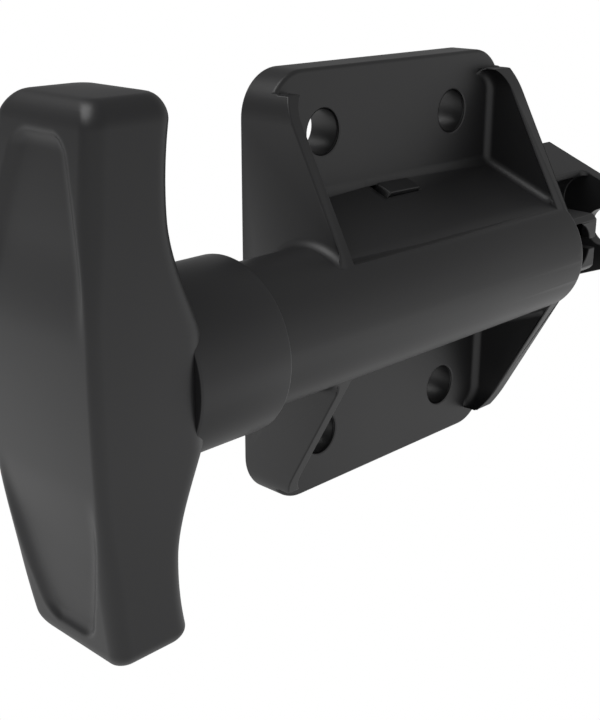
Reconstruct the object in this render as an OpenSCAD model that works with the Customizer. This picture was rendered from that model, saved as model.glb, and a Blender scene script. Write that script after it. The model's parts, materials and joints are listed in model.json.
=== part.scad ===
// Pull T-handle actuator for a remote latch.
// A moulded bracket carries a sprung pull rod; the slider at its tail holds the end of a release cable.
// Origin: centre of the four screw holes on the mounting face. X leaves the mounting face,
// the handle looks towards -Y and the cable leaves towards +Y.

/* [Mounting plate] */
// Height of the plate, across the barrel
plate_h = 96; // [90:1:110]
// Length of the plate, along the barrel
plate_l = 79.4; // [74:0.2:95]
// Thickness of the plate
plate_t = 8.3; // [6:0.1:10]
// Corner radius of the plate
plate_r = 10; // [8:0.5:12]
// Diameter of the four screw holes
hole_d = 9.5; // [6:0.1:11]
// Hole spacing along the barrel
hole_pitch_y = 44.3; // [40:0.1:48]
// Hole spacing across the barrel
hole_pitch_z = 69; // [66:0.5:74]
// Front end of the plate to the first holes
hole_margin = 16.25; // [14:0.25:20]
// Bevel round the mouths of the screw holes
hole_bevel = 0.4; // [0.2:0.1:0.8]

/* [Barrel and webs] */
// Mounting face to the barrel's axis
axis_off = 21.1; // [20:0.1:24]
// Outer diameter of the barrel
barrel_d = 29.5; // [28.5:0.1:31]
// Bore of the barrel
bore_d = 22; // [21:0.1:23]
// How far the barrel reaches ahead of the plate
barrel_reach = 32.5; // [30:0.5:34]
// Angle of the sloping webs to the X axis
web_angle = 21.5; // [19:0.5:24]
// Wall of the webs over the rear insert
web_t = 3.6; // [3.4:0.1:4]
// Rounding of the barrel's rear rim
rim_r = 1.4; // [0.8:0.1:2]
// Fillet between the walls of the bracket
fillet_r = 2; // [1.2:0.1:2.4]

/* [Gussets] */
// Wall of the rear gusset
gusset_t = 4.2; // [3.4:0.1:5]
// Wall of the front gusset
front_gusset_t = 2.8; // [2.2:0.1:4]
// Angle of a gusset's edge, off the upright
gusset_angle = 29; // [26:0.5:31]
// Barrel axis to the line of a gusset's edge
gusset_off = 13.4; // [12.6:0.1:14]
// Height at which the gussets are cut flat
gusset_top = 43.6; // [42:0.1:45]

/* [T-handle] */
// Height of the grip
grip_h = 102; // [90:1:115]
// Half width of the grip at its ends
grip_end_w = 13; // [12:0.1:14]
// Half width of the grip at its middle
grip_mid_w = 16; // [14.5:0.1:17]
// Depth of the grip at its ends
grip_depth = 17.9; // [17:0.1:20]
// Front end of the collar's bore to the back of the grip
grip_set = 0.6; // [0.4:0.1:1.5]
// Crown of the grip's front face
grip_crown = 4.9; // [0:0.1:6]
// Depth of the finger hollows behind the grip
grip_hollow = 3.5; // [0:0.1:4]
// Half height of the hub behind the grip
hub_half = 9; // [8:0.5:12]
// Rise of the hub behind the grip
hub_rise = 2.7; // [2:0.1:3.5]
// Rounding of the grip's front edges
grip_edge = 3.6; // [3:0.1:4.5]
// Rounding of the grip's back edges
grip_back_edge = 4.4; // [3:0.1:5]
// Rounding of the grip's ends, at the front
end_front_r = 2.2; // [1:0.1:3.5]
// Rounding of the grip's ends, at the sides and the back
end_r = 4.7; // [3.5:0.1:5]
// Depth of the front panel at its ends
panel_depth = 1.8; // [0.8:0.1:2.5]
// Border of the front panel at its ends
panel_border = 6.5; // [5.5:0.1:8]
// Width of the slope round the front panel
panel_slope = 2.6; // [1.5:0.1:3.5]
// Outer diameter of the collar
collar_d = 35.2; // [34.5:0.1:37]
// Length of the collar
collar_l = 20; // [18:0.5:22]
// Front end of the plate to the collar's rim at rest
collar_gap = 23.8; // [23:0.1:26]
// Gap between collar and barrel, all round
collar_clear = 0.45; // [0.35:0.05:0.6]

/* [Pull rod] */
// Diameter of the pull rod
rod_d = 10; // [9:0.5:11]
// Radial running gap of the rod in its bush
rod_run = 0.06; // [0.03:0.01:0.1]
// Travel of the handle
travel = 25; // [20:1:26]
// Depth of the threaded insert in the grip
insert_l = 12; // [10:0.5:13]
// Outer diameter of the threaded insert
insert_d = 16; // [15:0.5:18]
// Across flats of the jam nut
nut_af = 16; // [15:0.5:17]
// Height of the jam nut
nut_h = 5; // [4.5:0.5:5.5]

/* [Cable slider] */
// Across flats of the square slider
slider_af = 14.5; // [13.5:0.1:15]
// Diameter that rounds the slider's corners
slider_d = 18.8; // [17.5:0.1:19.2]
// Length of the slider
slider_l = 50; // [46:1:54]
// Rear end of the plate to the slider's tail at rest
slider_out = 17; // [14:0.5:19]
// Diameter of the pocket for the cable's nipple
pocket_d = 11.6; // [10:0.1:12]
// Width of the slot for the cable
slot_w = 2.6; // [2:0.1:3.5]
// Wall behind the pocket, at the tail
jaw_t = 2.6; // [2:0.1:4]
// Gap between slider and guide, each side
slider_clear = 0.35; // [0.3:0.05:0.5]

/* [Rear insert] */
// Gap between insert and bracket, all round
insert_clear = 0.15; // [0.1:0.05:0.3]
// Rear end of the plate to the back of the insert
insert_out = 36.4; // [33:0.2:42]
// Thickness of the insert's rear wall
rear_wall = 3.8; // [3:0.1:5]
// Diameter of the conduit hole in the rear wall
conduit_d = 9.8; // [8:0.1:11]
// Front end of the plate to the front of the insert
insert_start = 31; // [29:0.5:34]
// Reach of the insert's side walls off the mounting face
cheek_reach = 14; // [12.5:0.1:15]
// Inner corner radius of the insert's cavity
cavity_r = 6.5; // [5:0.1:7.5]
// Half height of the insert's cavity
cavity_half = 13; // [12:0.1:13.3]
// Length of the window for the snap tab
window_l = 12.4; // [11:0.1:14]
// Width of the window, off the plate
window_w = 5.3; // [4.5:0.1:6]
// Gap between the snap tab and the window's sides
tab_gap = 0.45; // [0.3:0.05:0.6]
// How far the snap tab stands proud of the web
tab_proud = 0.9; // [0.5:0.1:1.3]

/* [Bush, seal and spring] */
// Length of the front bush
bush_l = 14; // [12:0.5:16]
// Wire of the return spring
wire_d = 1.6; // [1.2:0.1:1.8]
// Mean diameter of the return spring
spring_d = 17; // [16.5:0.1:17.5]
// Number of active coils
coils = 9; // [7:1:11]
// Thickness of the spring's washers
washer_t = 1.5; // [1:0.1:2]

/* [Hidden] */
$fn = 64;

// A cut runs this far past the face that it opens
over = 1;
// Gap left at a pressed or screwed seat
seat = 0.03;
// Gap left between flat faces that meet
rest_gap = 0.3;
// Walls round the pockets in the bracket's back
core_wall = 4;
// How far the collar is sunk in the grip's back edges
collar_in = 1.4;

// Stations along Y
front_y = -hole_margin - hole_pitch_y / 2;
rear_y = front_y + plate_l;
barrel_y = front_y - barrel_reach;
collar_rim_y = front_y - collar_gap;
hub_y = collar_rim_y - collar_l;
grip_back_y = hub_y - grip_set;
grip_front_y = grip_back_y - grip_depth;

barrel_r = barrel_d / 2;
cavity_web_r = barrel_r - web_t;
insert_r = cavity_web_r - insert_clear;

// Front of the barrel: a lip, the wiper, the bush and the spring's washer
lip_t = 3;
lip_d = rod_d + 5;
wiper_t = 2.5;
wiper_y = barrel_y + lip_t;
bush_y = wiper_y + wiper_t + seat;
bush_end_y = bush_y + bush_l;

// Slider and what pushes it
slider_tail_y = rear_y + slider_out;
slider_y = slider_tail_y - slider_l;
washer_front_y = bush_end_y + seat;
washer_rear_y = slider_y - seat - washer_t;
spring_y = washer_front_y + washer_t + wire_d / 2;
spring_end_y = washer_rear_y - wire_d / 2;
ring_t = 3;
sleeve_l = washer_rear_y - washer_front_y - washer_t - travel - ring_t - rest_gap;
rod_seat_l = 20;
pin_d = 4;
pocket_y = slider_tail_y - jaw_t - pocket_d / 2;

// Rear insert
insert_y = front_y + insert_start - 5;
insert_end_y = rear_y + insert_out;
rear_wall_y = insert_end_y - rear_wall;
insert_back = 0.3;
tube_end_y = rear_y - 6;
chamber_d = slider_d + 2 * slider_clear + 0.3;
window_y = front_y + insert_start + 0.3;
tab_y = window_y + 0.6;
tab_end_y = window_y + window_l - 0.3;
arm_back = 3;
arm_l = 23;
arm_t = 2.4;

// Half height of a section through the webs that lies r off the barrel's axis
function web_z(x, r) = (r - (x - axis_off) * sin(web_angle)) / cos(web_angle);

// Extrude an outline drawn in X and Z from y0 to y1
module along_y(y0, y1) {
    translate([0, y1, 0])
        rotate([90, 0, 0])
            linear_extrude(y1 - y0)
                children();
}

// Extrude an outline drawn in Y and Z from x0 to x1
module along_x(x0, x1) {
    translate([x0, 0, 0])
        rotate([90, 0, 90])
            linear_extrude(x1 - x0)
                children();
}

// A round piece on the barrel's axis, from y0 to y1
module round_y(y0, y1, d) {
    translate([axis_off, y1, 0])
        rotate([90, 0, 0])
            cylinder(d = d, h = y1 - y0);
}

// A piece turned about the barrel's axis, its profile drawn as [radius, y]
module turned_y() {
    translate([axis_off, 0, 0])
        rotate([-90, 0, 0])
            rotate_extrude($fn = 96)
                children();
}

// The frame of a sloping web: Z is its normal and starts at the barrel's axis
module on_web(side) {
    translate([axis_off, 0, 0])
        mirror([0, 0, side > 0 ? 0 : 1])
            rotate([0, web_angle, 0])
                children();
}

// Rectangle with round corners, given by its corners
module round_box(low, high, r) {
    translate([low[0] + r, low[1]])
        square([high[0] - low[0] - 2 * r, high[1] - low[1]]);
    translate([low[0], low[1] + r])
        square([high[0] - low[0], high[1] - low[1] - 2 * r]);
    for (y = [low[0] + r, high[0] - r], z = [low[1] + r, high[1] - r])
        translate([y, z])
            circle(r = r);
}

// Fillet in a corner, between two tangent points and the centre of its arc; it reaches into both walls
module fillet(corner, t1, centre, t2, r) {
    difference() {
        polygon(concat([centre], [for (p = [t1, corner, t2]) centre + 1.3 * (p - centre)]));
        translate(centre)
            circle(r = 1.015 * r);
    }
}

// Section through the barrel and its two sloping webs, which run in a hair below the tangent
module web_section(r, x0) {
    q = 0.9995 * r;
    tx = axis_off + q * sin(web_angle);
    tz = q * cos(web_angle);
    polygon([[x0, -web_z(x0, q)], [tx, -tz], [tx, tz], [x0, web_z(x0, q)]]);
    translate([axis_off, 0])
        circle(r = r);
}

module plate_outline() {
    round_box([front_y, -plate_h / 2], [rear_y, plate_h / 2], plate_r);
}

// Side view of one half of the tray: the plate, then the gusset, cut flat at its top
module tray_side(side) {
    low = barrel_r * 0.3;
    edge = function(z) axis_off + (gusset_off - z * sin(gusset_angle)) / cos(gusset_angle);
    polygon([for (p = [[0, -over], [edge(low), -over], [edge(low), low], [edge(gusset_top), gusset_top],
        [plate_t, gusset_top], [plate_t, plate_h], [0, plate_h]]) [p[0], side * p[1]]]);
}

// Outline between the two end gussets, which follow the plate's round corners
module tray_inside() {
    for (end = [[front_y + front_gusset_t, hole_pitch_y / 2, front_gusset_t],
        [-hole_pitch_y / 2, rear_y - gusset_t, gusset_t]])
        round_box([end[0], -plate_h / 2 + end[2]], [end[1], plate_h / 2 - end[2]], plate_r - end[2]);
}

// Plate and its two end gussets
module tray() {
    intersection() {
        difference() {
            along_x(0, axis_off + barrel_r)
                plate_outline();
            along_x(plate_t, axis_off + 2 * barrel_r)
                tray_inside();
        }
        along_y(front_y - over, rear_y + over)
            for (side = [-1, 1])
                tray_side(side);
    }
}

module screw_holes() {
    for (y = [-1, 1] * hole_pitch_y / 2, z = [-1, 1] * hole_pitch_z / 2)
        translate([0, y, z])
            rotate([0, 90, 0]) {
                translate([0, 0, -over])
                    cylinder(d = hole_d, h = plate_t + 2 * over);
                translate([0, 0, plate_t - hole_bevel])
                    cylinder(d1 = hole_d, d2 = hole_d + 4 * hole_bevel, h = 2 * hole_bevel);
            }
}

// Window in a web, through which the insert's tab snaps
module tab_window(side) {
    on_web(side)
        translate([0, window_y, cavity_web_r - over])
            translate([window_x(), 0, 0])
                cube([window_w, window_l, web_t + 4]);
}

// Along the web's slope: where the window starts, just off the plate's face
function window_x() = (plate_t + 0.2 - axis_off - barrel_r * sin(web_angle)) / cos(web_angle);

module mount_bracket() {
    color([0.13, 0.13, 0.14])
        difference() {
            union() {
                tray();
                along_y(front_y + front_gusset_t / 2, rear_y - gusset_t / 2)
                    web_section(barrel_r, plate_t / 2);
                round_y(barrel_y, front_y + front_gusset_t / 2, barrel_d);
                rear_rim();
                web_roots();
                front_fillet();
            }
            screw_holes();
            // Room for the rear insert, open at the back and the rear
            along_y(insert_y - insert_clear, rear_y + over)
                web_section(cavity_web_r, -over);
            round_y(barrel_y + lip_t, insert_y + over, bore_d);
            round_y(barrel_y - over, barrel_y + lip_t + over, lip_d);
            front_core();
            for (side = [-1, 1])
                tab_window(side);
        }
}

// The barrel's rear end, rounded where it stands free of the gusset
module rear_rim() {
    low = rear_y - gusset_t;
    turned_y() {
        translate([0, low])
            square([barrel_r - rim_r, gusset_t]);
        translate([0, low])
            square([barrel_r, gusset_t - rim_r]);
        translate([barrel_r - rim_r, rear_y - rim_r])
            circle(r = rim_r);
    }
}

// Fillets along the roots: web to plate, gusset to plate
module web_roots() {
    r = fillet_r;
    zc = web_z(plate_t + r, barrel_r + r);
    for (side = [-1, 1])
        along_y(front_y + front_gusset_t / 2, rear_y - gusset_t / 2)
            fillet([plate_t, side * web_z(plate_t, barrel_r)], [plate_t, side * zc],
                [plate_t + r, side * zc],
                [plate_t + r - r * sin(web_angle), side * (zc - r * cos(web_angle))], r);
    for (end = [front_y + front_gusset_t, rear_y - gusset_t], side = [-1, 1]) {
        inward = end < 0 ? 1 : -1;
        straight = plate_h / 2 - plate_r;
        translate([0, 0, side > 0 ? barrel_r : -straight])
            linear_extrude(straight - barrel_r)
                fillet([plate_t, end], [plate_t + r, end], [plate_t + r, end + inward * r],
                    [plate_t, end + inward * r], r);
        // Gusset to web, along the slope
        on_web(side)
            translate([-axis_off / cos(web_angle), end, barrel_r])
                rotate([90, 0, 90])
                    linear_extrude(axis_off / cos(web_angle) + 1.5)
                        fillet([0, 0], [0, r], [inward * r, r], [inward * r, 0], r);
    }
}

// Fillet ring between the barrel and the front end of the bracket
module front_fillet() {
    r = fillet_r + 0.4;
    intersection() {
        turned_y()
            fillet([barrel_r, front_y], [barrel_r + r, front_y], [barrel_r + r, front_y - r],
                [barrel_r, front_y - r], r);
        along_y(front_y - r - over, front_y + over)
            for (side = [-1, 1])
                tray_side(side);
    }
}

// Pockets moulded into the back, beside the front stretch of the barrel
module front_core() {
    difference() {
        along_y(front_y + core_wall, insert_y - core_wall)
            web_section(cavity_web_r, -over);
        round_y(front_y, insert_y, barrel_d);
        // Rib along the middle
        along_y(front_y, insert_y)
            translate([-2 * over, -core_wall / 2])
                square([axis_off, core_wall]);
    }
}

// Half width of the grip at height z
function grip_w(z) = grip_mid_w - (grip_mid_w - grip_end_w) * pow(abs(z) / (grip_h / 2), 1.9);

// Smooth step from 0 to 1
function ease(t) = let (u = max(0, min(1, t))) u * u * (3 - 2 * u);

// Front and back of the grip at height z
function grip_front(z) = grip_front_y - grip_crown * (1 - pow(2 * z / grip_h, 2));
function grip_back(z) = grip_back_y
    + hub_rise * ease((hollow_z - abs(z)) / (hollow_z - hub_half))
    - grip_hollow * (1 - pow(min(1, abs(abs(z) - hollow_z) / (grip_h / 2 - hollow_z)), 2));
hollow_z = grip_h * 0.302;

// How far a rounding of radius r at the grip's ends draws a face in, at height z
function end_in(z, r) = let (d = abs(z) - grip_h / 2 + r) d > 0 ? r - sqrt(max(0, r * r - d * d)) : 0;

// Depth of the front panel, by the distance inside its outline
function panel_end(z) = grip_h / 2 - panel_border - abs(z);
function panel_side(x, z) = grip_w(z) - grip_edge - 0.2 - abs(x);
function panel_in(x, z) = let (a = panel_end(z), b = panel_side(x, z), r = 4)
    a < r && b < r ? r - norm([r - a, r - b]) : min(a, b);
function panel_fade(z) = 0.2 + 0.8 * ease(abs(z) / (grip_h * 0.36));
function panel_y(x, z) = panel_depth * panel_fade(z) * ease(panel_in(x, z) / panel_slope);

// Columns of the grip's front, as shares of the half width inside its edges
front_cols = [1, 0.97, 0.92, 0.87, 0.81, 0.75, 0.69, 0.5, 0.17];

// One section of the grip at height z: front, edge, back and edge
function grip_ring(z) = let (
    w = grip_w(z) - end_in(z, end_r),
    f = grip_edge,
    b = grip_back_edge,
    y0 = grip_front(z) + end_in(z, end_front_r),
    y1 = grip_back(z) - end_in(z, end_r),
    right = [for (c = front_cols) [c * (w - f), y0 + panel_y(c * (w - f), z)]])
    concat(
        [for (i = [len(right) - 1:-1:0]) right[i]],
        [for (a = [15:15:90]) [w - f + f * sin(a), y0 + f - f * cos(a)]],
        [for (a = [0:15:90]) [w - b + b * cos(a), y1 - b + b * sin(a)]],
        [for (a = [0:15:90]) [-w + b - b * sin(a), y1 - b + b * cos(a)]],
        [for (a = [90:-15:15]) [-w + f - f * sin(a), y0 + f - f * cos(a)]],
        [for (p = right) [-p[0], p[1]]]);

// Heights of the sections, from the bottom up
ring_steps = 12;
ring_upper = concat(
    [for (i = [0:ring_steps]) i / ring_steps * (grip_h / 2 - panel_border - 1.3 * panel_slope)],
    [for (s = [1, 0.75, 0.5, 0.25, 0]) grip_h / 2 - panel_border - s * panel_slope],
    [for (a = [0, 20, 40, 58, 74, 90]) grip_h / 2 - end_r + end_r * sin(a)]);
ring_list = concat([for (i = [len(ring_upper) - 1:-1:1]) -ring_upper[i]], ring_upper);

module grip() {
    rings = [for (z = ring_list) [for (p = grip_ring(z)) [axis_off + p[0], p[1], z]]];
    n = len(rings[0]);
    m = len(rings);
    centre = function(s) [axis_off, (grip_front_y + grip_back_y) / 2, s * rings[m - 1][0][2]];
    points = concat([for (ring = rings) each ring], [centre(-1), centre(1)]);
    sides = [for (i = [0:m - 2], j = [0:n - 1]) let (k = (j + 1) % n)
        [i * n + j, (i + 1) * n + j, (i + 1) * n + k, i * n + k]];
    caps = [for (j = [0:n - 1]) let (k = (j + 1) % n)
        each [[j, k, m * n], [(m - 1) * n + k, (m - 1) * n + j, m * n + 1]]];
    polyhedron(points, concat(sides, caps), convexity = 6);
}

module t_handle() {
    bore_r = barrel_r + collar_clear;
    color([0.14, 0.14, 0.15])
        difference() {
            union() {
                grip();
                // Collar, its front end rounded where it stands wider than the grip
                turned_y()
                    difference() {
                        translate([0, grip_back_y - collar_in])
                            square([collar_d / 2, collar_rim_y - grip_back_y + collar_in]);
                        difference() {
                            translate([collar_d / 2 - 1.2, grip_back_y - collar_in - over])
                                square([2, 1.2 + over]);
                            translate([collar_d / 2 - 1.2, grip_back_y - collar_in + 1.2])
                                circle(r = 1.2);
                        }
                    }
            }
            round_y(hub_y, collar_rim_y + over, 2 * bore_r);
            round_y(hub_y - insert_l, hub_y + over, insert_d);
        }
}

module threaded_insert() {
    color([0.78, 0.62, 0.28])
        difference() {
            round_y(hub_y - insert_l + rest_gap, hub_y, insert_d - 2 * seat);
            round_y(hub_y - insert_l, hub_y + over, rod_d);
            // Two grooves that key the insert in its moulding
            for (y = [-0.3, -0.65] * insert_l)
                turned_y()
                    translate([insert_d / 2 - 0.8, hub_y + y - 0.6])
                        square([2, 1.2]);
        }
}

module pull_rod() {
    color([0.72, 0.73, 0.75])
        difference() {
            union() {
                round_y(hub_y - insert_l + 1.2, slider_y + rod_seat_l - 1, rod_d - 2 * seat);
                // Bevelled tail
                translate([axis_off, slider_y + rod_seat_l, 0])
                    rotate([90, 0, 0])
                        cylinder(d1 = rod_d - 2, d2 = rod_d - 2 * seat, h = 1);
            }
            cross_hole();
        }
}

// Hole of the cross pin, through slider and rod
module cross_hole() {
    translate([axis_off, slider_y + rod_seat_l / 2, -slider_af])
        cylinder(d = pin_d, h = 2 * slider_af);
}

module hex_y(y0, y1, af) {
    translate([axis_off, y1, 0])
        rotate([90, 30, 0])
            cylinder(d = af / cos(30), h = y1 - y0, $fn = 6);
}

module lock_washer() {
    color([0.7, 0.71, 0.73])
        difference() {
            round_y(hub_y + seat, hub_y + washer_t, nut_af + 1);
            round_y(hub_y - over, hub_y + washer_t + over, rod_d);
        }
}

module jam_nut() {
    y0 = hub_y + washer_t + seat;
    color([0.7, 0.71, 0.73])
        difference() {
            intersection() {
                hex_y(y0, y0 + nut_h, nut_af);
                // Corners bevelled on both faces
                turned_y()
                    polygon([[0, y0], [nut_af / 2, y0], [nut_af / 2 + 1.4, y0 + 0.8],
                        [nut_af / 2 + 1.4, y0 + nut_h - 0.8], [nut_af / 2, y0 + nut_h], [0, y0 + nut_h]]);
            }
            round_y(y0 - over, y0 + nut_h + over, rod_d);
        }
}

module rest_buffer() {
    y1 = barrel_y - rest_gap;
    color([0.09, 0.09, 0.09])
        turned_y()
            difference() {
                translate([nut_af / 2 + 2.2, hub_y + seat])
                    square([barrel_r - 1 - nut_af / 2 - 2.2, y1 - hub_y - seat]);
                // Groove that lets the rubber give
                translate([barrel_r - 1, (hub_y + y1) / 2])
                    circle(r = 1.2);
            }
}

module rod_wiper() {
    run = 0.1;
    color([0.08, 0.08, 0.08])
        turned_y()
            polygon([[rod_d / 2 - seat + run, wiper_y + seat], [rod_d / 2 + 1, wiper_y + seat],
                [rod_d / 2 + 2, wiper_y + 1], [bore_d / 2 - seat, wiper_y + 1],
                [bore_d / 2 - seat, wiper_y + wiper_t], [rod_d / 2 + 1, wiper_y + wiper_t],
                [rod_d / 2 - seat + run, wiper_y + 0.8]]);
}

module front_bush() {
    color([0.86, 0.85, 0.8])
        difference() {
            round_y(bush_y, bush_end_y, bore_d - 2 * seat);
            round_y(bush_y - over, bush_end_y + over, rod_d + 2 * rod_run - 2 * seat);
            // Grease groove
            turned_y()
                translate([rod_d / 2 - over, (bush_y + bush_end_y) / 2 - 1])
                    square([over + 0.8, 2]);
        }
}

module washer(y, hole) {
    difference() {
        round_y(y, y + washer_t, spring_d + wire_d + 0.2);
        round_y(y - over, y + washer_t + over, hole);
    }
}

module front_washer() {
    color([0.7, 0.71, 0.73])
        washer(washer_front_y, rod_d + 0.8);
}

module rear_washer() {
    color([0.7, 0.71, 0.73])
        washer(washer_rear_y, rod_d + 0.4);
}

// The spring's wire as rings of points along its helix, with a closed turn at each end
module return_spring() {
    sides = 8;
    steps = 14;
    closed = 1;
    turns = coils + 2 * closed;
    length = spring_end_y - spring_y - 2 * wire_d * 1.05;
    r = spring_d / 2;
    rise = function(t) t < closed ? t * wire_d * 1.05
        : t > turns - closed ? length + wire_d * 1.05 * (t - turns + 2 * closed)
        : wire_d * 1.05 + (t - closed) / coils * (length - wire_d * 1.05 * (1 - closed) - wire_d * 1.05);
    n = turns * steps;
    points = [for (i = [0:n], j = [0:sides - 1]) let (a = 360 * i / steps, b = 360 * j / sides,
        q = r + wire_d / 2 * cos(b))
        [axis_off + q * cos(a), spring_y + rise(i / steps) + wire_d / 2 * sin(b), q * sin(a)]];
    tube = [for (i = [0:n - 1], j = [0:sides - 1]) let (k = (j + 1) % sides)
        [i * sides + j, i * sides + k, (i + 1) * sides + k, (i + 1) * sides + j]];
    color([0.6, 0.61, 0.63])
        polyhedron(points, concat([[for (j = [sides - 1:-1:0]) j]], tube,
            [[for (j = [0:sides - 1]) n * sides + j]]), convexity = 12);
}

module stop_sleeve() {
    y1 = washer_rear_y - seat;
    color([0.86, 0.85, 0.8])
        difference() {
            round_y(y1 - sleeve_l, y1, rod_d + 3.4);
            round_y(y1 - sleeve_l - over, y1 + over, rod_d + 0.3);
        }
}

module stop_ring() {
    y1 = washer_rear_y - 2 * seat - sleeve_l;
    color([0.08, 0.08, 0.08])
        difference() {
            round_y(y1 - ring_t, y1, rod_d + 3.8);
            round_y(y1 - ring_t - over, y1 + over, rod_d + 0.3);
        }
}

// Square with its corners turned down to a diameter
module slider_outline(gap) {
    af = slider_af + 2 * gap;
    translate([axis_off, 0])
        intersection() {
            square([af, af], center = true);
            circle(d = slider_d + 2 * gap);
        }
}

module cable_slider() {
    color([0.12, 0.12, 0.13])
        difference() {
            along_y(slider_y, slider_tail_y)
                slider_outline(0);
            // Seat of the rod and of its cross pin
            round_y(slider_y - over, slider_y + rod_seat_l + 1, rod_d);
            cross_hole();
            // Pocket for the cable's nipple, open to +X, and the slot that the cable leaves by
            translate([axis_off - pocket_d / 4, pocket_y, 0])
                rotate([0, 90, 0])
                    cylinder(d = pocket_d, h = slider_af);
            translate([axis_off, pocket_y, -slot_w / 2])
                cube([slider_af, slider_tail_y - pocket_y + over, slot_w]);
            round_y(pocket_y, slider_tail_y + over, slot_w);
        }
}

module slider_pin() {
    color([0.5, 0.5, 0.52])
        translate([axis_off, slider_y + rod_seat_l / 2, -slider_af / 2 + 0.3])
            difference() {
                cylinder(d = pin_d - 2 * seat, h = slider_af - 0.6);
                translate([0, 0, -over])
                    cylinder(d = pin_d / 2, h = slider_af + 2 * over);
                // The slit of the rolled pin
                translate([0, -0.3, -over])
                    cube([pin_d, 0.6, slider_af + 2 * over]);
            }
}

// Snap tab on a sloping side of the insert: a short ramp in front, square behind
module snap_tab(side) {
    top = barrel_r + tab_proud;
    on_web(side)
        translate([window_x() + tab_gap, 0, 0])
            rotate([90, 0, 90])
                linear_extrude(window_w - 2 * tab_gap)
                    polygon([[tab_y, insert_r - over], [tab_y, insert_r], [tab_y + 0.8, top - 0.5],
                        [tab_y + 1.2, top], [tab_end_y, top - 0.2], [tab_end_y, insert_r - over]]);
}

// Gap that frees a snap arm to flex: beside it, under it and at its front end
module arm_relief(side) {
    wide = window_w + 0.4;
    slit = 1;
    deep = 2 * arm_t + 0.2;
    on_web(side)
        translate([window_x() - 0.2, 0, 0])
            difference() {
                translate([-slit, tab_y - arm_back - slit, insert_r - deep])
                    cube([wide + 2 * slit, arm_back + arm_l + slit, deep + over]);
                translate([0, tab_y - arm_back, insert_r - arm_t])
                    cube([wide, arm_back + 2 * arm_l, 2 * arm_t]);
            }
}

// Cavity behind the tube, open to +X, with two round inner corners
module insert_cavity() {
    floor_x = plate_t + 0.3;
    r = cavity_r;
    along_y(tube_end_y, rear_wall_y)
        union() {
            translate([floor_x + r, -cavity_half])
                square([2 * axis_off, 2 * cavity_half]);
            translate([floor_x, -cavity_half + r])
                square([axis_off, 2 * (cavity_half - r)]);
            for (side = [-1, 1])
                translate([floor_x + r, side * (cavity_half - r)])
                    circle(r = r);
        }
    // Side walls end at the cheeks, with a fillet up to the rear wall
    translate([0, 0, -plate_h / 2])
        linear_extrude(plate_h)
            round_cut([cheek_reach, tube_end_y], [3 * axis_off, rear_wall_y], 2.4);
}

// Rectangle with only its far left corner rounded
module round_cut(low, high, r) {
    difference() {
        translate(low)
            square(high - low);
        fillet([low[0], high[1]], [low[0] + r, high[1]], [low[0] + r, high[1] - r],
            [low[0], high[1] - r], r);
    }
}

// Cells moulded into the insert's back, with ribs between them
module insert_cells() {
    wall = 2.4;
    cells = 4;
    y0 = tab_end_y + 14;
    y1 = insert_end_y - wall;
    pitch = (y1 - y0) / cells;
    for (i = [0:cells - 1], side = [-1, 1])
        translate([-over, y0 + i * pitch + wall / 2, side > 0 ? wall / 2 : -web_z(0, insert_r) + 2 * wall])
            cube([plate_t - 2 * wall + over + 1.2, pitch - wall, web_z(0, insert_r) - 2.5 * wall]);
}

module rear_insert() {
    color([0.11, 0.11, 0.12])
        difference() {
            union() {
                difference() {
                    along_y(insert_y, insert_end_y)
                        web_section(insert_r, insert_back);
                    for (side = [-1, 1])
                        arm_relief(side);
                }
                for (side = [-1, 1])
                    snap_tab(side);
            }
            // Round chamber for the spring, then the square guide of the slider
            round_y(insert_y - over, slider_y, chamber_d);
            along_y(slider_y - over, tube_end_y + over)
                slider_outline(slider_clear);
            insert_cavity();
            round_y(rear_wall_y - over, insert_end_y + over, conduit_d);
            insert_cells();
        }
}

mount_bracket();
t_handle();
threaded_insert();
pull_rod();
lock_washer();
jam_nut();
rest_buffer();
rod_wiper();
front_bush();
front_washer();
return_spring();
stop_sleeve();
stop_ring();
rear_washer();
cable_slider();
slider_pin();
rear_insert();
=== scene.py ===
"""Looks of the T-handle latch actuator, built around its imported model.

X leaves the mounting face, Y runs along the barrel towards the cable end, Z is up along the grip.
"""

import json
import math

import bmesh
import bpy
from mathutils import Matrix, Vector


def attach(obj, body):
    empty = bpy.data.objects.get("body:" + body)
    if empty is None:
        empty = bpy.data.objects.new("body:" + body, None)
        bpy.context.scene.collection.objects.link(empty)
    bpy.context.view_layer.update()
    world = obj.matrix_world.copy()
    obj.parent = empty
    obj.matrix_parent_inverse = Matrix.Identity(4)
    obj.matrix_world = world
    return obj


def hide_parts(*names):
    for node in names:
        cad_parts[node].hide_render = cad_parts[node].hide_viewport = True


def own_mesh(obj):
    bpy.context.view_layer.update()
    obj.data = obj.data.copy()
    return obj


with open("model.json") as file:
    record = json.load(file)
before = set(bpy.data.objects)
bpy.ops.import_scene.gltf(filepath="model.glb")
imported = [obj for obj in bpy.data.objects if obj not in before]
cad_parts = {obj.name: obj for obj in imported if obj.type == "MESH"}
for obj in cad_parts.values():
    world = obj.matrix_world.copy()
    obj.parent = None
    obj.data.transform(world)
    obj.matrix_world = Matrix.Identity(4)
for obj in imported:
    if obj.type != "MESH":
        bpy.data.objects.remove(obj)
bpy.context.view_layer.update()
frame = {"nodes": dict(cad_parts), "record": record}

MM = 0.001
BODY_OF = {node: body for body, nodes in frame["record"]["behaviour"]["bodies"].items() for node in nodes}
SLOT_OF = {part["node"]: part["material_slot"] for part in frame["record"]["subparts"]}


# Camera: placed by solving the plate's corners, the four holes and the barrel's rims in the photograph

CAMERA_AT = (185.118 * MM, -211.386 * MM, 75.408 * MM)
CAMERA_TURN = (70.4287, -0.1716, 44.1827)
LENS = 60.983


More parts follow.
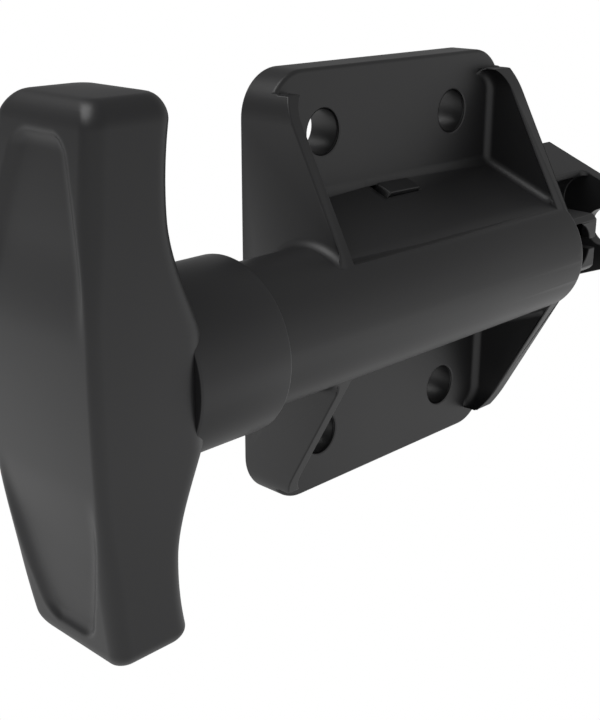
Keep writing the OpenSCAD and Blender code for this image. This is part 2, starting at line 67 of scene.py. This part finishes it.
def make_camera():
    data = bpy.data.cameras.new("camera")
    data.lens = LENS
    data.sensor_width = 36
    data.clip_start = 0.01
    camera = bpy.data.objects.new("camera", data)
    camera.location = CAMERA_AT
    camera.rotation_euler = [math.radians(a) for a in CAMERA_TURN]
    bpy.context.scene.collection.objects.link(camera)
    bpy.context.scene.camera = camera


make_camera()


# Materials

def linear(code):
    """sRGB hex to linear RGBA."""
    parts = [int(code[i:i + 2], 16) / 255 for i in (1, 3, 5)]
    return [p / 12.92 if p <= 0.04045 else ((p + 0.055) / 1.055) ** 2.4 for p in parts] + [1.0]


def add(tree, kind, settings=None, links=None):
    """Add a node; settings name attributes or input sockets, links name input sockets and their sources."""
    node = tree.nodes.new(kind)
    for key, value in (settings or {}).items():
        if isinstance(key, str) and hasattr(node, key) and key not in node.inputs:
            setattr(node, key, value)
        else:
            node.inputs[key].default_value = value
    for key, source in (links or {}).items():
        tree.links.new(source, node.inputs[key])
    return node


def new_material(name):
    material = bpy.data.materials.new(name)
    material.use_nodes = True
    material.node_tree.nodes.clear()
    return material, material.node_tree


def per_metre(size_mm):
    """Texture scale that gives a pattern this size."""
    return 1 / (size_mm * MM)


def moulded_plastic(name, dark, light, roughness, grain_mm, grain_depth_mm, flow_mm):
    """Injection-moulded plastic.

    The eye gets a soft, even sheen with no mirror image, a fine matt grain from the spark-eroded tool,
    and very faint broad changes in gloss where the melt flowed.
    """
    material, tree = new_material(name)
    where = add(tree, "ShaderNodeTexCoord").outputs["Object"]
    flow = add(tree, "ShaderNodeTexNoise", {"Scale": per_metre(flow_mm), "Detail": 2.0, "Roughness": 0.4},
               {"Vector": where})
    grain = add(tree, "ShaderNodeTexNoise", {"Scale": per_metre(grain_mm), "Detail": 1.0, "Roughness": 0.5},
                {"Vector": where})
    colour = add(tree, "ShaderNodeMix", {"data_type": "RGBA"}, {"Factor": flow.outputs["Fac"]})
    colour.inputs["A"].default_value = linear(dark)
    colour.inputs["B"].default_value = linear(light)
    gloss = add(tree, "ShaderNodeMapRange", {"From Min": 0.3, "From Max": 0.7,
                                             "To Min": roughness - 0.03, "To Max": roughness + 0.03},
                {"Value": flow.outputs["Fac"]})
    bump = add(tree, "ShaderNodeBump", {"Strength": 0.35, "Distance": grain_depth_mm * MM},
               {"Height": grain.outputs["Fac"]})
    shader = add(tree, "ShaderNodeBsdfPrincipled", {"IOR": 1.5, "Specular IOR Level": 0.5},
                 {"Base Color": colour.outputs["Result"], "Roughness": gloss.outputs["Result"],
                  "Normal": bump.outputs["Normal"]})
    add(tree, "ShaderNodeOutputMaterial", None, {"Surface": shader.outputs["BSDF"]})
    return material


def metal(name, colour_code, roughness, line_mm, streak):
    """Metal with fine turned or drawn lines round the barrel's axis, which stretch its highlights."""
    material, tree = new_material(name)
    where = add(tree, "ShaderNodeTexCoord").outputs["Object"]
    stretched = add(tree, "ShaderNodeMapping", {"Scale": streak}, {"Vector": where})
    lines = add(tree, "ShaderNodeTexNoise", {"Scale": per_metre(line_mm), "Detail": 3.0},
                {"Vector": stretched.outputs["Vector"]})
    gloss = add(tree, "ShaderNodeMapRange", {"To Min": roughness - 0.08, "To Max": roughness + 0.08},
                {"Value": lines.outputs["Fac"]})
    bump = add(tree, "ShaderNodeBump", {"Strength": 0.3, "Distance": 0.01 * MM},
               {"Height": lines.outputs["Fac"]})
    shader = add(tree, "ShaderNodeBsdfPrincipled", {"Metallic": 1.0, "Base Color": linear(colour_code)},
                 {"Roughness": gloss.outputs["Result"], "Normal": bump.outputs["Normal"]})
    add(tree, "ShaderNodeOutputMaterial", None, {"Surface": shader.outputs["BSDF"]})
    return material


def soft_rubber(name, colour_code):
    """Moulded rubber: dull and dark, with a fine dusty grain."""
    material, tree = new_material(name)
    where = add(tree, "ShaderNodeTexCoord").outputs["Object"]
    grain = add(tree, "ShaderNodeTexNoise", {"Scale": per_metre(0.3), "Detail": 2.0}, {"Vector": where})
    bump = add(tree, "ShaderNodeBump", {"Strength": 0.4, "Distance": 0.02 * MM},
               {"Height": grain.outputs["Fac"]})
    shader = add(tree, "ShaderNodeBsdfPrincipled", {"Base Color": linear(colour_code), "Roughness": 0.75},
                 {"Normal": bump.outputs["Normal"]})
    add(tree, "ShaderNodeOutputMaterial", None, {"Surface": shader.outputs["BSDF"]})
    return material


MATERIALS = {
    "bracket_plastic": moulded_plastic(
        "glass_filled_nylon_bracket", "#1a1a1b", "#1f1f20", 0.42, 0.5, 0.01, 40),
    "handle_plastic": moulded_plastic("glass_filled_nylon_handle", "#1b1b1d", "#202021", 0.4, 0.5, 0.01, 40),
    "insert_plastic": moulded_plastic("black_acetal_insert", "#1c1c1d", "#212122", 0.4, 0.5, 0.008, 30),
    "slider_plastic": moulded_plastic("black_acetal_slider", "#1c1c1d", "#212122", 0.4, 0.5, 0.008, 30),
    "bush_plastic": moulded_plastic("natural_acetal", "#d8d5c8", "#dedbcf", 0.4, 0.5, 0.008, 30),
    "brass": metal("turned_brass", "#c99b4f", 0.28, 0.3, (1, 6, 1)),
    "steel": metal("ground_steel", "#b9babd", 0.25, 0.3, (1, 8, 1)),
    "zinc_steel": metal("zinc_plated_steel", "#a9acb0", 0.4, 0.6, (1, 1, 1)),
    "spring_steel": metal("oiled_spring_steel", "#7d7e82", 0.35, 0.6, (1, 1, 1)),
    "rubber": soft_rubber("moulded_rubber", "#1b1b1b"),
}


# Pieces

def finish_piece(name, bm, node, smooth_angle, keep_shading=True):
    """Turn a bmesh into a piece that stands for a CAD node, on that node's body."""
    mesh = bpy.data.meshes.new(name)
    bm.to_mesh(mesh)
    bm.free()
    piece = bpy.data.objects.new(name, mesh)
    bpy.context.scene.collection.objects.link(piece)
    mesh.materials.append(MATERIALS[SLOT_OF[node]])
    mesh.polygons.foreach_set("use_smooth", [True] * len(mesh.polygons))
    mesh.set_sharp_from_angle(angle=math.radians(smooth_angle))
    if keep_shading:
        keep_cad_shading(piece, node)
    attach(piece, BODY_OF[node])
    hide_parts(node)
    return piece


def keep_cad_shading(piece, node):
    """Take the true surfaces' normals over from the CAD node, wherever the piece still lies on it."""
    transfer = piece.modifiers.new("normals", "DATA_TRANSFER")
    transfer.object = frame["nodes"][node]
    transfer.use_loop_data = True
    transfer.data_types_loops = {"CUSTOM_NORMAL"}
    transfer.loop_mapping = "POLYINTERP_NEAREST"
    transfer.use_max_distance = True
    transfer.max_distance = 0.004 * MM
    bpy.context.view_layer.update()
    shaded = piece.evaluated_get(bpy.context.evaluated_depsgraph_get())
    piece.data = bpy.data.meshes.new_from_object(shaded)
    piece.modifiers.clear()


def merged_copy(node):
    """A bmesh copy of a CAD node with its loose triangles joined."""
    bm = bmesh.new()
    bm.from_mesh(frame["nodes"][node].data)
    bmesh.ops.remove_doubles(bm, verts=bm.verts[:], dist=0.005 * MM)
    return bm


def middle(edge):
    """The middle of an edge, in mm."""
    return (edge.verts[0].co + edge.verts[1].co) / 2 / MM


def join_flats(bm, edges):
    """Join the triangles of each flat face, so that a bevel has clean faces beside it."""
    bmesh.ops.dissolve_limit(bm, angle_limit=math.radians(0.1), verts=[], edges=edges, delimit=set())


def sharp_edges(bm, angle=35):
    return [e for e in bm.edges if e.calc_face_angle(0) > math.radians(angle)]


def ease(bm, edges, size_mm, segments=2):
    """Round edges off, or fill inner corners, over this width on each side."""
    bmesh.ops.bevel(bm, geom=edges, offset=size_mm * MM, affect="EDGES", segments=segments, profile=0.5,
                    material=-1, clamp_overlap=False)


# Bracket, in mm: places on the moulding that its edges are told apart by, and the widths of their easing
WINDOW_SIDES = (-8.4, 6.6)
WINDOW_X = 15.0
WINDOW_Z = 24.0
CORNERS_ALONG = (-36.0, 37.0)
CORNERS_LOW = 13.0
PLATE_FACE = 8.3
BORE_STEP_Y = -12.6
GUSSET_TOP = 43.6
FILLET = 2.0
PLATE_EDGE = 0.9
FINE_EDGE = 0.35
SMALL_PART_EDGE = 0.3


def beside_window(edge):
    """Edges round the tab windows, which are left as the CAD has them."""
    at = middle(edge)
    near = WINDOW_SIDES[0] - 0.01 <= at.y <= WINDOW_SIDES[1] + 0.01
    return near and 0 < at.x < WINDOW_X and abs(at.z) < WINDOW_Z


def is_inner_corner(edge):
    """Corners between plate, gussets and webs on the outside of the bracket."""
    at = middle(edge)
    low = min(abs(v.co.z) for v in edge.verts) / MM
    along = CORNERS_ALONG[0] < at.y < CORNERS_ALONG[1]
    inside = along and at.x > PLATE_FACE - 0.05 and low > CORNERS_LOW
    return inside and not edge.is_convex and abs(at.z) <= GUSSET_TOP - 0.05 and not beside_window(edge)


def is_plate_edge(edge):
    at = middle(edge)
    flat = all(abs(v.co.x / MM - PLATE_FACE) < 0.02 for v in edge.verts)
    return flat and edge.is_convex and abs(at.z) > GUSSET_TOP - 3


def is_bore_step(edge):
    """A step inside the bore that is too narrow to be eased."""
    return all(abs(v.co.y / MM - BORE_STEP_Y) < 0.5 for v in edge.verts)


def dress_bracket():
    bm = merged_copy("mount_bracket")
    for y in WINDOW_SIDES:
        bmesh.ops.bisect_plane(bm, geom=bm.verts[:] + bm.edges[:] + bm.faces[:], plane_co=(0, y * MM, 0),
                               plane_no=(0, 1, 0))
    join_flats(bm, [e for e in bm.edges if not beside_window(e)])
    ease(bm, [e for e in sharp_edges(bm) if is_inner_corner(e)], FILLET, 5)
    ease(bm, [e for e in sharp_edges(bm) if is_plate_edge(e)], PLATE_EDGE, 4)
    fine = [e for e in sharp_edges(bm) if e.is_convex and not beside_window(e) and not is_bore_step(e)]
    ease(bm, fine, FINE_EDGE)
    finish_piece("bracket_shell", bm, "mount_bracket", 35)


# Handle: the source's sizes in mm, with roundings and the panel's line chosen from the photograph
AXIS_X = 21.1
GRIP_HALF = 51.0
GRIP_MID_W = 16.0
GRIP_END_W = 13.0
GRIP_BACK = -82.8
GRIP_DEPTH = 17.9
GRIP_CROWN = 4.9
HUB_HALF = 9.0
HUB_RISE = 2.7
HUB_Y = -82.2
HOLLOW_Z = 30.8
HOLLOW = 3.5
FRONT_R = 3.6
FRONT_MID_R = 1.6
FRONT_MID_Z = 14.0
FRONT_MID_BLEND = 20.0
BACK_R = 4.4
END_R = 4.7
END_DOME = 1.0
END_DOME_Z = 44.0
PANEL_BORDER = 6.2
PANEL_SIDE = 2.5
PANEL_WIDENS_Z = 20.0
PANEL_WIDENS_OVER = 18.5
PANEL_WIDENS_BY = 3.3
PANEL_CORNER = 3.0
PANEL_FADE_Z = 12.0
PANEL_FADE_OVER = 16.0
PANEL_STEEP = 0.85
PANEL_LIP = 1.3
PANEL_BLEND = 3.2
COLLAR_R = 17.6
COLLAR_BORE_R = 15.2
COLLAR_CORE_R = 4.0
COLLAR_EDGE = 0.5
COLLAR_RIM_EDGE = 0.6
COLLAR_START = -84.2
COLLAR_RIM = -62.2
BOX_DEPTH = 20.0


def ease_in_out(t):
    t = min(1.0, max(0.0, t))
    return t * t * (3 - 2 * t)


def grip_width(z):
    return GRIP_MID_W - (GRIP_MID_W - GRIP_END_W) * (abs(z) / GRIP_HALF) ** 1.9


def grip_front(z):
    return GRIP_BACK - GRIP_DEPTH - GRIP_CROWN * (1 - (z / GRIP_HALF) ** 2)


def grip_back(z):
    rise = HUB_RISE * ease_in_out((HOLLOW_Z - abs(z)) / (HOLLOW_Z - HUB_HALF))
    off = min(1.0, abs(abs(z) - HOLLOW_Z) / (GRIP_HALF - HOLLOW_Z))
    return GRIP_BACK + rise - HOLLOW * (1 - off ** 2)


def front_radius(z):
    """The front corners are tighter at mid height than at the grip's ends."""
    return FRONT_MID_R + (FRONT_R - FRONT_MID_R) * ease_in_out((abs(z) - FRONT_MID_Z) / FRONT_MID_BLEND)


def panel_sink(x, z):
    """How deep the front is sunk: a soft lip, a steep line and a wide blend, fading towards mid height."""
    border = PANEL_SIDE + PANEL_WIDENS_BY * max(0.0, (abs(z) - PANEL_WIDENS_Z) / PANEL_WIDENS_OVER) ** 1.3
    side = grip_width(z) - border - abs(x)
    end = GRIP_HALF - PANEL_BORDER - abs(z)
    if side < PANEL_CORNER and end < PANEL_CORNER:
        inside = PANEL_CORNER - math.hypot(PANEL_CORNER - side, PANEL_CORNER - end)
    else:
        inside = min(side, end)
    if inside < 0:
        sink = PANEL_LIP / 3 * max(0.0, 1 + inside / PANEL_LIP) ** 3
    else:
        sink = PANEL_LIP / 3 + PANEL_BLEND / 3 * (1 - max(0.0, 1 - inside / PANEL_BLEND) ** 3)
    return PANEL_STEEP * sink * ease_in_out((abs(z) - PANEL_FADE_Z) / PANEL_FADE_OVER)


def rounded(x, y, half_x, half_y, r):
    """Carry a point on a rectangle's outline over to the same rectangle with round corners."""
    core_x = min(half_x - r, max(r - half_x, x))
    core_y = min(half_y - r, max(r - half_y, y))
    off = math.hypot(x - core_x, y - core_y)
    if off == 0:
        return x, y
    return core_x + r * (x - core_x) / off, core_y + r * (y - core_y) / off


def shape_grip(co):
    """Carry a point of the cut box, in mm, over to the grip."""
    half = BOX_DEPTH / 2
    reach = max(abs(co.x) / GRIP_MID_W, abs(co.y - half) / half, 1e-6)
    # The section's own corners, found on its outline
    corner = front_radius(co.z) if co.y < half else BACK_R
    x, y = rounded(co.x / reach, (co.y - half) / reach, GRIP_MID_W, half, corner)
    # The rounding between the sides and the domed end
    out, z = rounded(reach * GRIP_MID_W, co.z, GRIP_MID_W, GRIP_HALF, END_R)
    inward = out / GRIP_MID_W
    near_end = ease_in_out((abs(z) - END_DOME_Z) / (GRIP_HALF - END_DOME_Z))
    z -= math.copysign(END_DOME * inward ** 2 * near_end, z)
    x *= inward * grip_width(z) / GRIP_MID_W
    y = half + y * inward
    share = y / BOX_DEPTH
    y_row = grip_front(z) * (1 - share) + grip_back(z) * share
    y_row += panel_sink(x, z) * max(0.0, 1 - y / FRONT_R)
    if share > 0.5 and math.hypot(x, z) < (COLLAR_R + COLLAR_BORE_R) / 2:
        y_row = min(y_row, HUB_Y)
    return Vector((AXIS_X + x, y_row, z))


def make_grip(bm):
    """Cut a box into fine strips, closest where the panel's edge and the corners are, and shape it."""
    made = bmesh.ops.create_cube(bm, size=1.0)["verts"]
    for v in made:
        v.co = Vector((v.co.x * 2 * GRIP_MID_W, (v.co.y + 0.5) * BOX_DEPTH, v.co.z * 2 * GRIP_HALF))
    cuts_x = [0.35 * i for i in range(46)]
    cuts_z = [1.5 * i for i in range(24)] + [36 + 0.35 * i for i in range(43)]
    cuts_y = [0.6 * i for i in range(1, 9)] + [6.5, 9, 12, 14.5] + [15.6 + 0.6 * i for i in range(8)]
    both_x = cuts_x + [-c for c in cuts_x[1:]]
    both_z = cuts_z + [-c for c in cuts_z[1:]]
    for axis, cuts in enumerate((both_x, cuts_y, both_z)):
        normal = Vector([1.0 if i == axis else 0.0 for i in range(3)])
        for cut in cuts:
            bmesh.ops.bisect_plane(bm, geom=bm.verts[:] + bm.edges[:] + bm.faces[:], plane_co=normal * cut,
                                   plane_no=normal)
    for v in bm.verts:
        v.co = shape_grip(v.co) * MM


def make_collar(bm):
    """Turn the collar's section, as radius and place along the barrel, round the barrel's axis."""
    def arc(r, y, size, start, end):
        angles = [math.radians(start + (end - start) * i / 5) for i in range(6)]
        return [(r + size * math.cos(a), y + size * math.sin(a)) for a in angles]

    section = [(COLLAR_CORE_R, COLLAR_START)]
    section += arc(COLLAR_R - COLLAR_EDGE, COLLAR_START + COLLAR_EDGE, COLLAR_EDGE, -90, 0)
    section += arc(COLLAR_R - COLLAR_RIM_EDGE, COLLAR_RIM - COLLAR_RIM_EDGE, COLLAR_RIM_EDGE, 0, 90)
    section += arc(COLLAR_BORE_R + COLLAR_EDGE, COLLAR_RIM - COLLAR_EDGE, COLLAR_EDGE, 90, 180)
    section += [(COLLAR_BORE_R, HUB_Y), (COLLAR_CORE_R, HUB_Y)]
    verts = [bm.verts.new(Vector((AXIS_X + r, y, 0)) * MM) for r, y in section]
    edges = [bm.edges.new((a, b)) for a, b in zip(verts, verts[1:] + verts[:1])]
    bmesh.ops.spin(bm, geom=verts + edges, cent=Vector((AXIS_X, 0, 0)) * MM, axis=(0, 1, 0), dvec=(0, 0, 0),
                   angle=math.tau, steps=128, use_merge=True, use_duplicate=False)


def make_handle():
    bm = bmesh.new()
    make_collar(bm)
    bmesh.ops.recalc_face_normals(bm, faces=bm.faces[:])
    grip = bmesh.new()
    make_grip(grip)
    bmesh.ops.recalc_face_normals(grip, faces=grip.faces[:])
    mesh = bpy.data.meshes.new("grip_skin")
    grip.to_mesh(mesh)
    grip.free()
    bm.from_mesh(mesh)
    bpy.data.meshes.remove(mesh)
    finish_piece("handle_moulding", bm, "t_handle", 40, keep_shading=False)


def dress(node, size_mm):
    """Break the sharp edges of a CAD node, as a mould or a deburring tool leaves them."""
    bm = merged_copy(node)
    join_flats(bm, bm.edges[:])
    ease(bm, sharp_edges(bm), size_mm)
    finish_piece(node + "_eased", bm, node, 35)


def make_spring():
    """The return spring, as a piece with a mesh of its own; the rear washer presses the real spring together
    towards its fixed end.
    """
    spring = finish_piece("return_spring_coil", merged_copy("return_spring"), "return_spring", 35)
    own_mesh(spring)


for node in SLOT_OF:
    cad = frame["nodes"][node]
    cad.data.materials.clear()
    cad.data.materials.append(MATERIALS[SLOT_OF[node]])

dress_bracket()
make_handle()
dress("rear_insert", SMALL_PART_EDGE)
dress("cable_slider", SMALL_PART_EDGE)
make_spring()


# Studio

# Floor glow in reflections: the level and reach of a painted shadow under the object, and of a painted
# falloff far out
FLOOR_Z = -0.16
FLOOR_PAINTED_SHADOW = 0.5
FLOOR_PAINTED_SHADOW_REACH = (0.18, 0.32)
FLOOR_PAINTED_FALLOFF = 0.7
FLOOR_PAINTED_FALLOFF_REACH = (0.5, 1.0)


def any_of(tree, outputs):
    """The largest of the ray tests."""
    best = outputs[0]
    for output in outputs[1:]:
        best = add(tree, "ShaderNodeMath", {"operation": "MAXIMUM"}, {0: best, 1: output}).outputs[0]
    return best


def make_floor():
    bm = bmesh.new()
    bmesh.ops.create_grid(bm, x_segments=1, y_segments=1, size=6.0)
    bmesh.ops.translate(bm, verts=bm.verts[:], vec=(0, 0, FLOOR_Z))
    mesh = bpy.data.meshes.new("floor")
    bm.to_mesh(mesh)
    bm.free()
    floor = bpy.data.objects.new("floor", mesh)
    bpy.context.scene.collection.objects.link(floor)
    material, tree = new_material("white_floor")
    rays = add(tree, "ShaderNodeLightPath").outputs
    seen = any_of(tree, [rays["Is Camera Ray"], rays["Is Glossy Ray"], rays["Is Transmission Ray"]])
    paint = add(tree, "ShaderNodeBsdfDiffuse", {"Color": linear("#e8e8e8")})
    # Painted shadow: in reflections the floor is dim under the object, white round it and falls off again
    # farther out
    where = add(tree, "ShaderNodeTexCoord").outputs["Object"]
    far = add(tree, "ShaderNodeVectorMath", {"operation": "LENGTH"}, {0: where}).outputs["Value"]
    painted_shadow = add(tree, "ShaderNodeMapRange", {
        "From Min": FLOOR_PAINTED_SHADOW_REACH[0], "From Max": FLOOR_PAINTED_SHADOW_REACH[1], "To Min": FLOOR_PAINTED_SHADOW,
        "To Max": 1.0}, {"Value": far})
    painted_falloff = add(tree, "ShaderNodeMapRange", {
        "From Min": FLOOR_PAINTED_FALLOFF_REACH[0], "From Max": FLOOR_PAINTED_FALLOFF_REACH[1], "To Min": 1.0,
        "To Max": FLOOR_PAINTED_FALLOFF}, {"Value": far})
    painted_shadow_and_falloff = add(tree, "ShaderNodeMath", {"operation": "MULTIPLY"},
                      {0: painted_shadow.outputs["Result"], 1: painted_falloff.outputs["Result"]})
    # The painted shadow and painted falloff set the floor's glow in reflections only; to the camera it stays
    # evenly white
    level = add(tree, "ShaderNodeMix", {"data_type": "FLOAT", "B": 1.0},
                {"Factor": rays["Is Camera Ray"], "A": painted_shadow_and_falloff.outputs[0]})
    glow = add(tree, "ShaderNodeEmission", {"Color": (1, 1, 1, 1)}, {"Strength": level.outputs["Result"]})
    both = add(tree, "ShaderNodeMixShader", None, {"Fac": seen, 1: paint.outputs[0], 2: glow.outputs[0]})
    add(tree, "ShaderNodeOutputMaterial", None, {"Surface": both.outputs[0]})
    mesh.materials.append(material)


def make_world(diffuse, overhead, wall_side, open_side):
    """White to the camera; in reflections it falls off to the ceiling and to the plate's side."""
    world = bpy.data.worlds.new("studio")
    bpy.context.scene.world = world
    world.use_nodes = True
    tree = world.node_tree
    tree.nodes.clear()
    rays = add(tree, "ShaderNodeLightPath").outputs
    direction = add(tree, "ShaderNodeTexCoord").outputs["Generated"]
    along = add(tree, "ShaderNodeSeparateXYZ", None, {"Vector": direction})
    ceiling = add(tree, "ShaderNodeMapRange", {"From Min": 0.0, "From Max": 0.6, "To Min": 1.0,
                                               "To Max": overhead}, {"Value": along.outputs["Z"]})
    side = add(tree, "ShaderNodeMapRange", {"From Min": -0.5, "From Max": 0.6, "To Min": wall_side,
                                            "To Max": open_side}, {"Value": along.outputs["X"]})
    level = add(tree, "ShaderNodeMath", {"operation": "MULTIPLY"},
                {0: ceiling.outputs["Result"], 1: side.outputs["Result"]})
    lit = add(tree, "ShaderNodeBackground", {"Color": (1, 1, 1, 1), "Strength": diffuse})
    mirrored = add(tree, "ShaderNodeBackground", {"Color": (1, 1, 1, 1)}, {"Strength": level.outputs[0]})
    white = add(tree, "ShaderNodeBackground", {"Color": (1, 1, 1, 1), "Strength": 1.0})
    not_diffuse = add(tree, "ShaderNodeMixShader", None, {
        "Fac": rays["Is Glossy Ray"], 1: lit.outputs[0], 2: mirrored.outputs[0]})
    both = add(tree, "ShaderNodeMixShader", None, {
        "Fac": any_of(tree, [rays["Is Camera Ray"], rays["Is Transmission Ray"]]),
        1: not_diffuse.outputs[0], 2: white.outputs[0]})
    add(tree, "ShaderNodeOutputWorld", None, {"Surface": both.outputs[0]})


def area_light(name, at, size, watts, aim=(0.02, 0, 0)):
    data = bpy.data.lights.new(name, "AREA")
    data.shape = "DISK"
    data.size = size
    data.energy = watts
    lamp = bpy.data.objects.new(name, data)
    lamp.location = at
    lamp.rotation_euler = (Vector(aim) - Vector(at)).to_track_quat("-Z", "Y").to_euler()
    bpy.context.scene.collection.objects.link(lamp)


make_floor()
make_world(0.45, 0.5, 0.35, 0.8)
area_light("key", (-0.3, -0.4, 0.87), 0.75, 4.6)

bpy.context.scene.view_settings.view_transform = "Standard"
